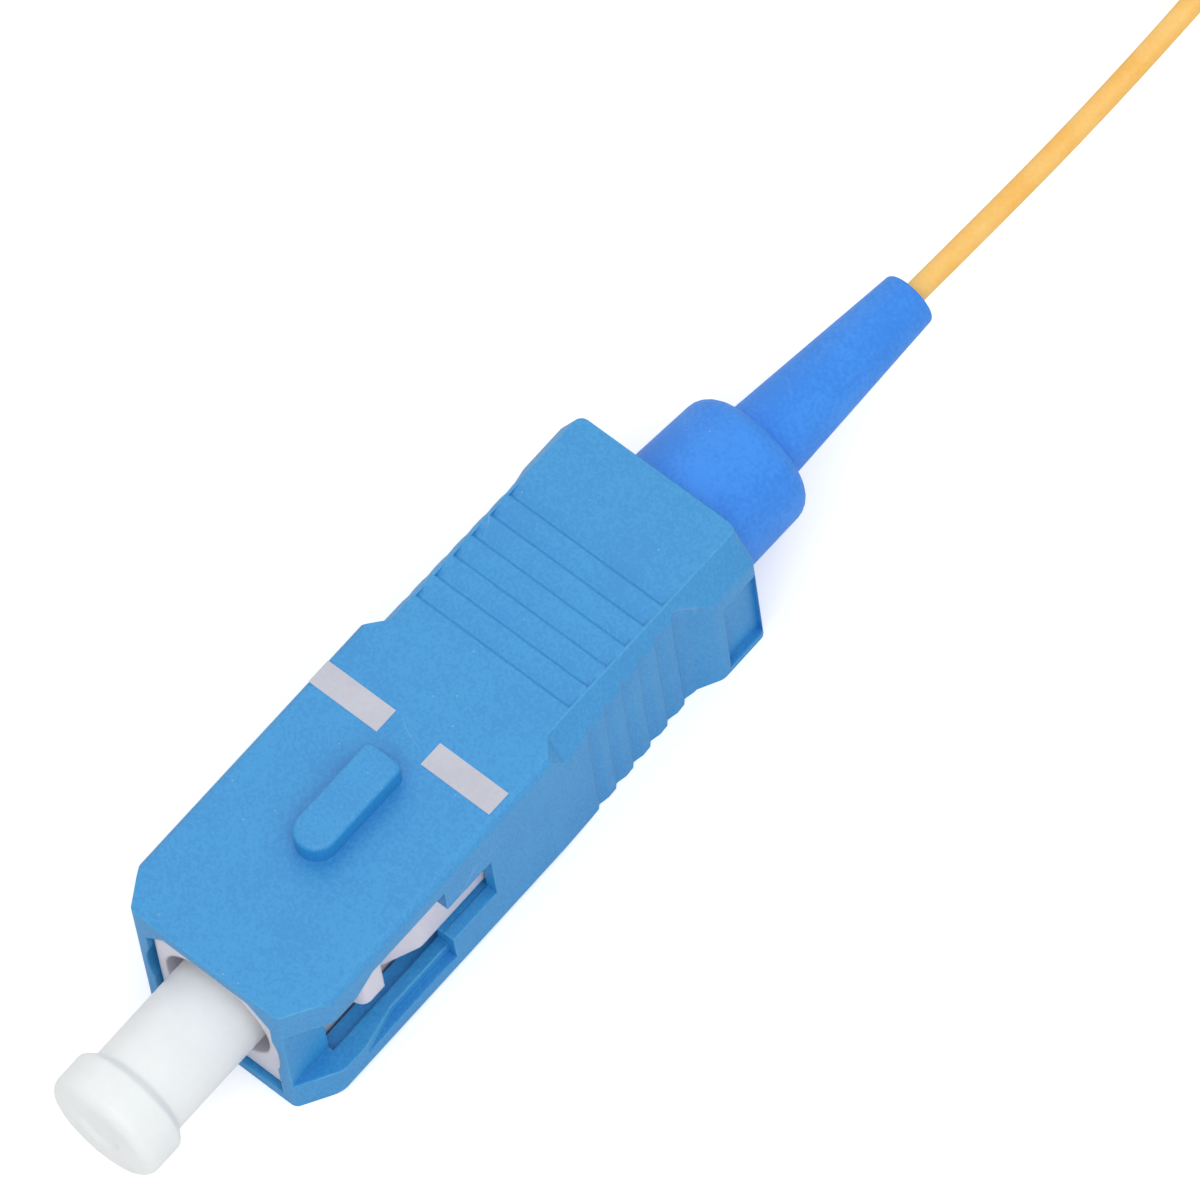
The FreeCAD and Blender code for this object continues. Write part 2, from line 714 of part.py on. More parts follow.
def boot():
    """Rubber strain relief on the stop ring: a collar and a tapered tail, leaning with the lead."""
    body = new_body("boot")
    start = COLLAR_BACK + " + boot_gap"
    collar = "housing_length - boot_collar_inset"
    shoulder = "(housing_length + boot_show)"
    tip = shoulder + " + boot_tail_length"
    socket = "stop_barrel_diameter / 2 + boot_fit"
    socket_end = STOP_END + " + ferrule_travel + chamber_gap"
    hole = "fibre_diameter / 2 + fibre_fit"
    revolved(body, "Revolution", "moulding", [
        (hole, start), ("boot_neck_diameter / 2", start), ("boot_neck_diameter / 2", collar),
        ("boot_collar_diameter / 2", collar), ("boot_collar_diameter / 2", "housing_length")]
        + turned_round("shoulder_diameter / 2", shoulder, "shoulder_round", "+")
        + [("boot_tail_diameter / 2", shoulder)]
        + turned_round("boot_tip_diameter / 2", tip, "boot_tip_round", "+")
        + [(hole, tip)])

    # The moulding leans, but its socket stays in line with the stop ring.
    lean = FreeCAD.Rotation(FreeCAD.Vector(0, 0, 1), -value("boot_lean"))
    pivot = FreeCAD.Vector(0, value("lean_pivot"), 0)
    body.Placement = FreeCAD.Placement(FreeCAD.Vector(), lean, pivot)
    seat = sketch_on(body, "socket", "XY_Plane")
    seat.AttachmentOffset = body.Placement.inverse()
    outline(seat, [("0", start + " - boot_gap"), (socket, start + " - boot_gap"), (socket, socket_end),
                   ("0", socket_end)])
    groove = body.newObject("PartDesign::Groove", "socket_cut")
    groove.Profile = seat
    groove.ReferenceAxis = (seat, ["V_Axis"])
    return body


# ---------------------------------------------------------------- dust cap

def dust_cap():
    body = new_body("dust_cap")
    bore = "ferrule_diameter / 2 + cap_clearance"
    rim = "cap_rim_diameter / 2"
    rim_back = "-cap_reach + cap_rim_length"
    front_round = turned_round(rim, "-cap_reach", "cap_round", "-")
    back_round = turned_round(rim, rim_back, "cap_round", "+")
    revolved(body, "Revolution", "moulding", [("0", "-cap_reach")] + front_round[::-1] + back_round + [
        ("cap_barrel_diameter / 2", rim_back), ("cap_barrel_diameter / 2", "cap_overlap"),
        (bore, "cap_overlap"), (bore, "-cap_reach + cap_wall"), ("0", "-cap_reach + cap_wall")])
    return body


# ---------------------------------------------------------------- lead

# The free stretch of the lead, from inside the boot to the top layer of its coil.
LEAD_ROUTE = [
    (0.84, 30.0, 0.00),
    (1.43, 41.3, 0.00),
    (1.95, 48.0, 0.85),
    (2.45, 54.6, 2.45),
    (2.30, 63.0, 2.32),
]
FLOOR = "-(housing_height / 2)"
COIL_WIDTH = "(coil_columns * fibre_diameter)"
COIL_INSIDE = "(coil_radius - fibre_diameter / 2)"
COIL_OUTSIDE = "(%s + %s)" % (COIL_INSIDE, COIL_WIDTH)
TOP_OUTSIDE = "(%s + top_columns * fibre_diameter)" % COIL_INSIDE
COIL_HEIGHT = "(coil_layers * fibre_diameter)"


def fibre_lead():
    """A tube along straight runs joined by tangent arcs, cut where it meets the coil."""
    points = [FreeCAD.Vector(*point) for point in LEAD_ROUTE]
    runs = [after - before for before, after in zip(points, points[1:])]
    edges = []
    start = points[0]
    for index in range(1, len(points) - 1):
        into, out = runs[index - 1], runs[index]
        turn = into.getAngle(out)
        reach = 0.45 * min(into.Length, out.Length)
        radius = reach / math.tan(turn / 2)
        print("lead arc %d: radius %.1f mm" % (index, radius))
        inward, outward = into / into.Length, out / out.Length
        entry = points[index] - inward * reach
        leave = points[index] + outward * reach
        bisector = (outward - inward).normalize()
        middle = points[index] + bisector * (radius / math.cos(turn / 2) - radius)
        edges.append(Part.LineSegment(start, entry).toShape())
        edges.append(Part.Arc(entry, middle, leave).toShape())
        start = leave
    edges.append(Part.LineSegment(start, points[-1]).toShape())
    path = Part.Wire(edges)
    circle = Part.Circle(points[0], points[1] - points[0], value("fibre_diameter / 2"))
    top_layer = Part.makeCylinder(value(TOP_OUTSIDE), value("housing_height"),
                                  FreeCAD.Vector(value("coil_x"), value("coil_y"), 0))
    tube = path.makePipeShell([Part.Wire([circle.toShape()])], True, True)
    expected = path.Length * math.pi * value("fibre_diameter / 2") ** 2
    print("lead tube: volume %.4f of %.4f mm3" % (tube.Volume, expected))
    kept = sorted(tube.cut(top_layer).Solids, key=lambda solid: solid.BoundBox.YMin)[0]
    feature = doc.addObject("Part::Feature", "fibre_lead")
    feature.Label = "fibre_lead"
    feature.Shape = kept
    return feature


def wound(name, section_rings, angle):
    """A ring about the coil's upright axis, from outlines (radius, height above the coil's base)."""
    body = new_body(name)
    profile = sketch_on(body, "section", "XZ_Plane")
    for corners in section_rings:
        outline(profile, corners)
    ring = body.newObject("PartDesign::Revolution", "ring")
    ring.Profile = profile
    ring.ReferenceAxis = (profile, ["V_Axis"])
    bind(ring, Angle=angle)
    body.setExpression(".Placement.Base.x", linked("coil_x"))
    body.setExpression(".Placement.Base.y", linked("coil_y"))
    body.setExpression(".Placement.Base.z", linked("%s + tie_thickness" % FLOOR))
    return body


def fibre_coil():
    """The winding's outer shape: full layers, and a top layer of the inner columns only."""
    inside, outside, top, top_out = COIL_INSIDE, COIL_OUTSIDE, COIL_HEIGHT, TOP_OUTSIDE
    corner = "coil_corner"
    full = top + " - fibre_diameter"
    return wound("fibre_coil", [[
        (inside + " + " + corner, "0"), (outside + " - " + corner, "0"), (outside, corner),
        (outside, full + " - " + corner), (outside + " - " + corner, full), (top_out, full),
        (top_out, top), (inside + " + " + corner, top), (inside, top + " - " + corner),
        (inside, corner)]], "360")


def coil_tie():
    """A clear band round the winding, over part of a turn on the side away from the connector."""
    inside, outside, top = COIL_INSIDE, COIL_OUTSIDE, COIL_HEIGHT
    skin = "tie_thickness"
    body = wound("coil_tie", [
        [(inside + " - " + skin, "-" + skin), (outside + " + " + skin, "-" + skin),
         (outside + " + " + skin, top + " + " + skin), (inside + " - " + skin, top + " + " + skin)],
        [(inside, "0"), (outside, "0"), (outside, top), (inside, top)]], "tie_angle")
    body.setExpression(".Placement.Rotation.Angle", linked("tie_turn"))
    body.Placement.Rotation.Axis = FreeCAD.Vector(0, 0, 1)
    return body


pieces = [
    outer_housing(),
    position_mark("right", "+"),
    position_mark("left", "-"),
    plug_frame(),
    ferrule(),
    ferrule_flange(),
    guide_tube(),
    rod_piece("glass_fibre", "glass_diameter", "-ferrule_reach", FERRULE_BACK + " + strip_length"),
    rod_piece("inner_fibre", "fibre_diameter", FERRULE_BACK + " + strip_length", STOP_END),
    spring(),
    stop_ring(),
    boot(),
    dust_cap(),
    fibre_lead(),
    fibre_coil(),
    coil_tie(),
]

doc.recompute()
for item in doc.Objects:
    if {"Invalid", "Error"} & set(item.State):
        raise RuntimeError("%s failed: %s" % (item.Name, item.State))
os.makedirs("parts", exist_ok=True)
for piece in pieces:
    if piece.Shape.isNull() or not piece.Shape.isValid():
        raise RuntimeError("%s has no valid shape" % piece.Label)
    piece.Shape.exportStep("parts/%s.step" % piece.Label)
    print("%-22s %9.3f mm3, %d solid(s)" % (piece.Label, piece.Shape.Volume, len(piece.Shape.Solids)))
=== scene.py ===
import math

import bmesh
import bpy
from mathutils import Matrix, Vector


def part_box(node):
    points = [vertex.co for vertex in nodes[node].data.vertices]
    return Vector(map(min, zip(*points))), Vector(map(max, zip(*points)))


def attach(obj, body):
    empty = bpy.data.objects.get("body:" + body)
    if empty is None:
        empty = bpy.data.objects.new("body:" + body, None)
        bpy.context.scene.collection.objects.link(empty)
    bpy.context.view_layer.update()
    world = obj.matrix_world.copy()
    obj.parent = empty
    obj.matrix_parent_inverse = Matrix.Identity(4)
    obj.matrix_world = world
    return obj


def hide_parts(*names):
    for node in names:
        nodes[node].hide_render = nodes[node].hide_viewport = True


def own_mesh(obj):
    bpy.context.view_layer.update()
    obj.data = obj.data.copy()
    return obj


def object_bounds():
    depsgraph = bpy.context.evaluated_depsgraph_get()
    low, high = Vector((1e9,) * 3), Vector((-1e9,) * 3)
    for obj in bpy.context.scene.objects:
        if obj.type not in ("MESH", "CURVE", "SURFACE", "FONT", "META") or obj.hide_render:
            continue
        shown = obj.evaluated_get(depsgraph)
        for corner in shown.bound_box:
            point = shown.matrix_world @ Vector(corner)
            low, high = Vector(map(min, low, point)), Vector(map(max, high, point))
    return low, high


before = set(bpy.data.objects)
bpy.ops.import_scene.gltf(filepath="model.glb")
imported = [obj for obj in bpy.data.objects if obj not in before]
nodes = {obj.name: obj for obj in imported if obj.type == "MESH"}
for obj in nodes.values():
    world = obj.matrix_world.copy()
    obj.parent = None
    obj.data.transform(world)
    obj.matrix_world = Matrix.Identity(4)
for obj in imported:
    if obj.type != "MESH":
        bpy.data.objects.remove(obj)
cad_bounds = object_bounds()


# Camera: a long lens above the nose, looking down along the connector towards its lead.
# The whole connector lies diagonally across the view and the lead leaves at the top right.
AZIMUTH, ELEVATION, ROLL = math.radians(48.83), math.radians(63.09), math.radians(-9.46)
LOOK_AT = Vector((0.0, 0.0125, 0.0))
ACROSS, UP, DISTANCE = 0.005703, 0.005805, 0.5387
LENS_LENGTH, SENSOR_WIDTH = 450.46, 36.0
NEAREST, FARTHEST = 0.01, 20.0

back = Vector((math.sin(AZIMUTH) * math.cos(ELEVATION),
               -math.cos(AZIMUTH) * math.cos(ELEVATION),
               math.sin(ELEVATION)))
level = Vector((0, 0, 1)).cross(back).normalized()
upright = back.cross(level)
right = math.cos(ROLL) * level + math.sin(ROLL) * upright
top = math.cos(ROLL) * upright - math.sin(ROLL) * level
place = LOOK_AT + ACROSS * right + UP * top + DISTANCE * back

lens = bpy.data.cameras.new("studio_camera")
lens.lens = LENS_LENGTH
lens.sensor_width = SENSOR_WIDTH
lens.clip_start = NEAREST
lens.clip_end = FARTHEST
camera = bpy.data.objects.new("studio_camera", lens)
camera.matrix_world = Matrix((
    (right.x, top.x, back.x, place.x),
    (right.y, top.y, back.y, place.y),
    (right.z, top.z, back.z, place.z),
    (0, 0, 0, 1)))
bpy.context.scene.collection.objects.link(camera)
bpy.context.scene.camera = camera


# Bench: a plain white sheet of card on which the connector rests, larger than any view of it.
# To the camera it glows a little, so that it stays white round a soft shadow.
BENCH_HALF = 1.5
BENCH_COLOUR = (0.86, 0.86, 0.86, 1)
BENCH_GLOW = 0.38
WHITE = (1, 1, 1, 1)


def add_node(tree, kind, inputs, **settings):
    """Adds a node. Each input is given a plain value, or another node's output to link to it."""
    node = tree.nodes.new(kind)
    for name, value in settings.items():
        setattr(node, name, value)
    for socket, value in inputs.items():
        if isinstance(value, bpy.types.NodeSocket):
            tree.links.new(value, node.inputs[socket])
        else:
            node.inputs[socket].default_value = value
    return node


bench_mesh = bpy.data.meshes.new("bench")
bench_height = cad_bounds[0][2]
bench_corners = [(-BENCH_HALF, -BENCH_HALF), (BENCH_HALF, -BENCH_HALF),
                 (BENCH_HALF, BENCH_HALF), (-BENCH_HALF, BENCH_HALF)]
bench_mesh.from_pydata([(x, y, bench_height) for x, y in bench_corners], [], [(0, 1, 2, 3)])
bench = bpy.data.objects.new("bench", bench_mesh)
bpy.context.scene.collection.objects.link(bench)
card = bpy.data.materials.new("white_card")
card.use_nodes = True
tree = card.node_tree
shader = tree.nodes["Principled BSDF"]
shader.inputs["Base Color"].default_value = BENCH_COLOUR
shader.inputs["Roughness"].default_value = 0.9
shader.inputs["Specular IOR Level"].default_value = 0.1
rays = tree.nodes.new("ShaderNodeLightPath")
seen = add_node(tree, "ShaderNodeMath", {0: rays.outputs["Is Camera Ray"], 1: BENCH_GLOW},
                operation="MULTIPLY")
glow = add_node(tree, "ShaderNodeEmission", {"Color": WHITE, "Strength": seen.outputs[0]})
both = add_node(tree, "ShaderNodeAddShader", {0: shader.outputs[0], 1: glow.outputs[0]})
tree.links.new(both.outputs[0], tree.nodes["Material Output"].inputs["Surface"])
bench_mesh.materials.append(card)


# Light: an even white tent, with a broad soft lamp beside the camera and a weaker one beyond
# the connector. The tent shows as plain white wherever the camera, gloss or clear plastic looks
# past the bench.
TENT_LIGHT = 0.64
TENT_SEEN = 1.0
LAMPS = [("key_lamp", (0.24, -0.16, 0.46), 0.60, 1.52),
         ("fill_lamp", (-0.30, 0.25, 0.35), 0.50, 0.38)]

tent = bpy.data.worlds.new("light_tent")
bpy.context.scene.world = tent
tent.use_nodes = True
tree = tent.node_tree
tree.nodes.clear()
rays = tree.nodes.new("ShaderNodeLightPath").outputs
looking = add_node(tree, "ShaderNodeMath", {0: rays["Is Camera Ray"], 1: rays["Is Glossy Ray"]},
                   operation="MAXIMUM")
shining = add_node(tree, "ShaderNodeMath", {0: looking.outputs[0], 1: rays["Is Transmission Ray"]},
                   operation="MAXIMUM")
inside = add_node(tree, "ShaderNodeBackground", {"Color": WHITE, "Strength": TENT_LIGHT})
white = add_node(tree, "ShaderNodeBackground", {"Color": WHITE, "Strength": TENT_SEEN})
choice = add_node(tree, "ShaderNodeMixShader",
                  {0: shining.outputs[0], 1: inside.outputs[0], 2: white.outputs[0]})
add_node(tree, "ShaderNodeOutputWorld", {"Surface": choice.outputs[0]})
for name, position, size, power in LAMPS:
    lamp = bpy.data.lights.new(name, "AREA")
    lamp.size = size
    lamp.energy = power
    lamp_object = bpy.data.objects.new(name, lamp)
    lamp_object.location = position
    aim = LOOK_AT - Vector(position)
    lamp_object.rotation_euler = aim.to_track_quat("-Z", "Y").to_euler()
    bpy.context.scene.collection.objects.link(lamp_object)
bpy.context.scene.view_settings.view_transform = "Standard"


# Fibre lead: a single fibre in a tight yellow-orange buffer of soft PVC, 0.9 mm across.
# It leaves the boot, climbs onto the winding that holds the rest of it, and ends cut square there.
LEAD_RADIUS = 0.00045
LEAD_ROUTE = [(0.00084, 0.0300, 0.0), (0.00143, 0.0413, 0.0), (0.00195, 0.0480, 0.00085),
              (0.00245, 0.0546, 0.00245), (0.00230, 0.0630, 0.00232)]
COIL_MIDDLE = Vector((-0.0031, 0.0630, 0.0))
COIL_GAP = 0.00012
COIL_BASE = bench_height + COIL_GAP
TURN_STEP = 0.0009
INNER_TURN = 0.0036
FULL_COLUMNS, FULL_LAYERS, TOP_COLUMNS = 6, 6, 3
TURN_POINTS, SHIFT_POINTS = 16, 4
BUFFER_COLOUR = (0.96, 0.60, 0.18, 1)
BUFFER_DEEP = (0.92, 0.50, 0.10, 1)

turns = [(column, FULL_LAYERS) for column in reversed(range(TOP_COLUMNS))]
for layer in reversed(range(FULL_LAYERS)):
    columns = list(range(FULL_COLUMNS))
    if (FULL_LAYERS - layer) % 2 == 0:
        columns.reverse()
    turns += [(column, layer) for column in columns]
lead_points = [Vector(point) for point in LEAD_ROUTE]
# A turn's points lie a little outside it, because the strand runs inside their corners.
bulge = 1 / math.cos(math.pi / TURN_POINTS)
for number, (column, layer) in enumerate(turns):
    next_column, next_layer = turns[min(number + 1, len(turns) - 1)]
    for step in range(TURN_POINTS):
        if number == 0 and step == 0:
            continue
        shift = max(0.0, (step - TURN_POINTS + SHIFT_POINTS) / SHIFT_POINTS)
        radius = INNER_TURN + TURN_STEP * (column + shift * (next_column - column))
        height = COIL_BASE + TURN_STEP * (0.5 + layer + shift * (next_layer - layer))
        angle = 2 * math.pi * step / TURN_POINTS
        lead_points.append(COIL_MIDDLE + Vector((radius * bulge * math.cos(angle),
                                                 radius * bulge * math.sin(angle), height)))
lead_curve = bpy.data.curves.new("buffered_fibre", "CURVE")
lead_curve.dimensions = "3D"
lead_curve.bevel_depth = LEAD_RADIUS
lead_curve.bevel_resolution = 3
lead_curve.resolution_u = 6
lead_curve.use_fill_caps = True
strand = lead_curve.splines.new("NURBS")
strand.points.add(len(lead_points) - 1)
for point, position in zip(strand.points, lead_points):
    point.co = (*position, 1)
strand.order_u = 3
strand.use_endpoint_u = True
lead = bpy.data.objects.new("buffered_fibre", lead_curve)
bpy.context.scene.collection.objects.link(lead)

# The skin that every finish shares: cloudy colour, fine grain, pale dust specks and short scratches.
# Proud edges are a little rounder and carry a painted highlight, and nooks are darkened with painted
# shade.
CLOUD_DETAIL, CLOUD_START, CLOUD_FULL = 4, 0.35, 0.65
GRAIN_DETAIL = 3
SPECK_SCALE, SPECK_SIZE, SPECK_STRENGTH = 1500, 0.055, 0.16
DUST_COLOUR = (0.9, 0.93, 0.96, 1)
SCRATCH_SCALE, SCRATCH_DETAIL, SCRATCH_LEVEL, SCRATCH_WIDTH = 170, 1, 0.52, 0.003
PATCH_SCALE, PATCH_DETAIL, PATCH_START, PATCH_FULL = 330, 2, 0.58, 0.66
# Painted highlight on proud edges: how far the rounded normal turns before it starts and where it is full.
HIGHLIGHT_START, HIGHLIGHT_FULL = 1.0, 0.85
PROUD_START, PROUD_FULL = 0.55, 0.85
# Painted shade in nooks: how far the occlusion looks (it also picks proud edges), where the shade starts
# and is full, and how deep it gets.
NOOK_REACH, NOOK_SHADE_START, NOOK_SHADE_FULL, NOOK_SHADE_DEPTH = 0.0010, 0.95, 0.35, 0.25
SKIN_INPUTS = {
    "Colour": "NodeSocketColor", "Deep and Shade Colour": "NodeSocketColor", "Highlight Colour": "NodeSocketColor",
    "Cloud Scale": "NodeSocketFloat", "Fleck Amount": "NodeSocketFloat",
    "Grain Scale": "NodeSocketFloat", "Grain Depth": "NodeSocketFloat",
    "Speck Share": "NodeSocketFloat", "Scratch Amount": "NodeSocketFloat",
    "Edge Radius": "NodeSocketFloat", "Highlight Strength": "NodeSocketFloat",
    "Gloss Low": "NodeSocketFloat", "Gloss High": "NodeSocketFloat"}
SKIN_OUTPUTS = {"Colour": "NodeSocketColor", "Roughness": "NodeSocketFloat",
                "Normal": "NodeSocketVector"}

skin = bpy.data.node_groups.new("fine_skin", "ShaderNodeTree")
for socket, kind in SKIN_INPUTS.items():
    skin.interface.new_socket(name=socket, in_out="INPUT", socket_type=kind)
for socket, kind in SKIN_OUTPUTS.items():
    skin.interface.new_socket(name=socket, in_out="OUTPUT", socket_type=kind)
given = skin.nodes.new("NodeGroupInput").outputs
here = skin.nodes.new("ShaderNodeTexCoord").outputs["Object"]
true_normal = skin.nodes.new("ShaderNodeNewGeometry").outputs["Normal"]


def noise(scale, detail):
    """A soft random field over the skin."""
    return add_node(skin, "ShaderNodeTexNoise",
                    {"Vector": here, "Scale": scale, "Detail": detail}).outputs["Fac"]


def work_out(operation, *terms):
    """One step of arithmetic over the skin."""
    return add_node(skin, "ShaderNodeMath", dict(enumerate(terms)), operation=operation).outputs[0]


def fade(value, none, full, most=1.0):
    """Rises from 0 where the value is at none to most where it is at full."""
    return add_node(skin, "ShaderNodeMapRange", {"Value": value, "From Min": none, "From Max": full,
                                                 "To Max": most}).outputs["Result"]


def blend(share, first, second, kind="RGBA", way="MIX"):
    """Two colours or directions mixed by a share."""
    return add_node(skin, "ShaderNodeMix", {"Factor": share, "A": first, "B": second},
                    data_type=kind, blend_type=way).outputs["Result"]


grain = noise(given["Grain Scale"], GRAIN_DETAIL)
flecks = work_out("SUBTRACT", grain, 0.5)
clouds = work_out("MULTIPLY_ADD", flecks, given["Fleck Amount"],
                  noise(given["Cloud Scale"], CLOUD_DETAIL))
cloudy = blend(fade(clouds, CLOUD_START, CLOUD_FULL), given["Colour"], given["Deep and Shade Colour"])

cells = add_node(skin, "ShaderNodeTexVoronoi", {"Vector": here, "Scale": SPECK_SCALE}).outputs
chance = add_node(skin, "ShaderNodeSeparateColor", {"Color": cells["Color"]}).outputs["Red"]
specks = work_out("MULTIPLY", work_out("LESS_THAN", cells["Distance"], SPECK_SIZE),
                work_out("LESS_THAN", chance, given["Speck Share"]))
scratch_field = noise(SCRATCH_SCALE, SCRATCH_DETAIL)
from_line = work_out("ABSOLUTE", work_out("SUBTRACT", scratch_field, SCRATCH_LEVEL))
scratches = work_out("MULTIPLY", fade(from_line, SCRATCH_WIDTH, 0.0),
                   fade(noise(PATCH_SCALE, PATCH_DETAIL), PATCH_START, PATCH_FULL))
marks = work_out("MAXIMUM", work_out("MULTIPLY", specks, SPECK_STRENGTH),
               work_out("MULTIPLY", scratches, given["Scratch Amount"]))
marked = blend(marks, cloudy, DUST_COLOUR)

rounded = add_node(skin, "ShaderNodeBevel", {"Radius": given["Edge Radius"]},
                   samples=8).outputs["Normal"]
turn = add_node(skin, "ShaderNodeVectorMath", {0: rounded, 1: true_normal},
                operation="DOT_PRODUCT").outputs["Value"]
# Occlusion over a short reach: open on proud edges, closed in nooks.
openness = add_node(skin, "ShaderNodeAmbientOcclusion", {"Distance": NOOK_REACH},
                    samples=6, only_local=True).outputs["AO"]
proud = fade(openness, PROUD_START, PROUD_FULL)
# Painted highlight: proud edges are mixed towards the highlight colour.
highlight_place = work_out("MULTIPLY", fade(turn, HIGHLIGHT_START, HIGHLIGHT_FULL), proud)
highlight_share = work_out("MULTIPLY", highlight_place, given["Highlight Strength"])
highlighted = blend(highlight_share, marked, given["Highlight Colour"])
# Painted shade: nooks are multiplied towards the deep colour.
nook_shaded = blend(fade(openness, NOOK_SHADE_START, NOOK_SHADE_FULL, NOOK_SHADE_DEPTH), highlighted,
                 given["Deep and Shade Colour"], way="MULTIPLY")
gloss = add_node(skin, "ShaderNodeMapRange", {"Value": grain, "To Min": given["Gloss Low"],
                                              "To Max": given["Gloss High"]}).outputs["Result"]
relief = add_node(skin, "ShaderNodeBump",
                  {"Strength": 1.0, "Distance": given["Grain Depth"], "Height": grain,
                   "Normal": blend(proud, true_normal, rounded, kind="VECTOR")}).outputs["Normal"]
add_node(skin, "NodeGroupOutput", {"Colour": nook_shaded, "Roughness": gloss, "Normal": relief})


def make_finish(name, colour, deep_and_shade, clouds, fleck, grain, depth, gloss, highlight=None, edge_radius=0.0,
                highlight_strength=0.0, specks=0.0, scratches=0.0, plain=None):
    """A material whose colour, gloss and grain come from the skin, with a painted highlight on proud edges
    and painted shade in nooks. Plain holds the shader's own values.
    """
    material = bpy.data.materials.new(name)
    material.use_nodes = True
    tree = material.node_tree
    values = {"Colour": colour, "Deep and Shade Colour": deep_and_shade, "Highlight Colour": highlight or colour,
              "Cloud Scale": clouds, "Fleck Amount": fleck, "Grain Scale": grain,
              "Grain Depth": depth, "Speck Share": specks, "Scratch Amount": scratches,
              "Edge Radius": edge_radius, "Highlight Strength": highlight_strength,
              "Gloss Low": gloss[0], "Gloss High": gloss[1]}
    surface = add_node(tree, "ShaderNodeGroup", values, node_tree=skin).outputs
    shader = tree.nodes["Principled BSDF"]
    tree.links.new(surface["Colour"], shader.inputs["Base Color"])
    tree.links.new(surface["Roughness"], shader.inputs["Roughness"])
    tree.links.new(surface["Normal"], shader.inputs["Normal"])
    for socket, value in (plain or {}).items():
        shader.inputs[socket].default_value = value
    return material


buffer = make_finish(
    "buffer_orange", BUFFER_COLOUR, BUFFER_DEEP, clouds=500, fleck=0.3, grain=7000, depth=0.000004,
    gloss=(0.38, 0.5), edge_radius=0.00001,
    plain={"Subsurface Weight": 0.2, "Subsurface Radius": (0.0006, 0.0003, 0.0001)})
lead_curve.materials.append(buffer)
tie = nodes["coil_tie"]
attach(lead, "plug_body")
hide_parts("fibre_lead", "fibre_coil")


# Tie: a turn of clear film round one side of the winding, stuck to itself.
# It holds the turns together and passes under them on the bench.
FILM_COLOUR = (0.92, 0.84, 0.80, 1)
FILM_DEEP = (0.88, 0.80, 0.76, 1)
# Painted highlight colour for the film's proud edges.
FILM_HIGHLIGHT = (0.95, 0.90, 0.88, 1)


def dress(piece, material):
    """Gives a carried-over solid its finish."""
    for slot in piece.material_slots:
        slot.material = material
    if not piece.material_slots:
        piece.data.materials.append(material)


film = make_finish(
    "tie_film", FILM_COLOUR, FILM_DEEP, clouds=300, fleck=0.3, grain=3000, depth=0.000004,
    gloss=(0.25, 0.38), highlight=FILM_HIGHLIGHT, edge_radius=0.00005, highlight_strength=0.3,
    plain={"Alpha": 0.5})
dress(tie, film)


# Outer housing: the blue sleeve that a finger and thumb pull, moulded in one piece of ABS.
# It slides a millimetre or so over the plug frame; its surface is matt, cloudy and lightly dusty.
HOUSING_COLOUR = (0.016, 0.290, 0.650, 1)
HOUSING_DEEP = (0.008, 0.250, 0.605, 1)
# Painted highlight colour, mixed onto the housing's proud edges.
HOUSING_HIGHLIGHT = (0.065, 0.470, 0.800, 1)

housing_plastic = make_finish(
    "housing_blue", HOUSING_COLOUR, HOUSING_DEEP, clouds=420, fleck=2.2, grain=8500, depth=0.000018,
    gloss=(0.44, 0.58), highlight=HOUSING_HIGHLIGHT, edge_radius=0.00012, highlight_strength=0.65,
    specks=0.25, scratches=0.10, plain={"Specular IOR Level": 0.9})
dress(nodes["outer_housing"], housing_plastic)


# Position marks: two bars of pale ink printed across the top face beside the key.
# The ink is thin and even, a touch rougher than the plastic.
INK_COLOUR = (0.560, 0.568, 0.645, 1)
INK_DEEP = (0.515, 0.525, 0.605, 1)

ink = make_finish(
    "mark_ink", INK_COLOUR, INK_DEEP, clouds=600, fleck=0.5, grain=6000, depth=0.000006,
    gloss=(0.5, 0.65))
dress(nodes["position_mark_right"], ink)
dress(nodes["position_mark_left"], ink)


# Plug frame: the white inner body that the adapter grips, moulded in glossy PBT.
# Its latch bumps and side blocks show in the windows of the housing.
FRAME_COLOUR = (0.745, 0.720, 0.800, 1)
FRAME_DEEP = (0.690, 0.670, 0.760, 1)
# Painted highlight colour for the frame's proud edges.
FRAME_HIGHLIGHT = (0.84, 0.82, 0.88, 1)

frame_plastic = make_finish(
    "frame_white", FRAME_COLOUR, FRAME_DEEP, clouds=350, fleck=0.4, grain=5000, depth=0.000006,
    gloss=(0.28, 0.42), highlight=FRAME_HIGHLIGHT, edge_radius=0.00018, highlight_strength=0.5,
    specks=0.05, scratches=0.1,
    plain={"Subsurface Weight": 0.5, "Subsurface Radius": (0.0014, 0.0014, 0.0014)})
dress(nodes["plug_frame"], frame_plastic)


# Ferrule: a ground and polished rod of white zirconia with a chamfered tip.
# The fibre is glued in a fine hole along its middle and polished flush with the end.
BORE_RADIUS = 0.0000677
TIP_RADIUS, CHAMFER_LENGTH = 0.00090, 0.00035
TIP_ROUND, CHAMFER_ROUND = 0.00008, 0.00015
ZIRCONIA_COLOUR = (0.86, 0.84, 0.85, 1)
ZIRCONIA_DEEP = (0.82, 0.80, 0.82, 1)
# Painted highlight colour for the ferrule's proud edges.
ZIRCONIA_HIGHLIGHT = (0.9, 0.9, 0.9, 1)
SHARP_ANGLE = math.radians(40)


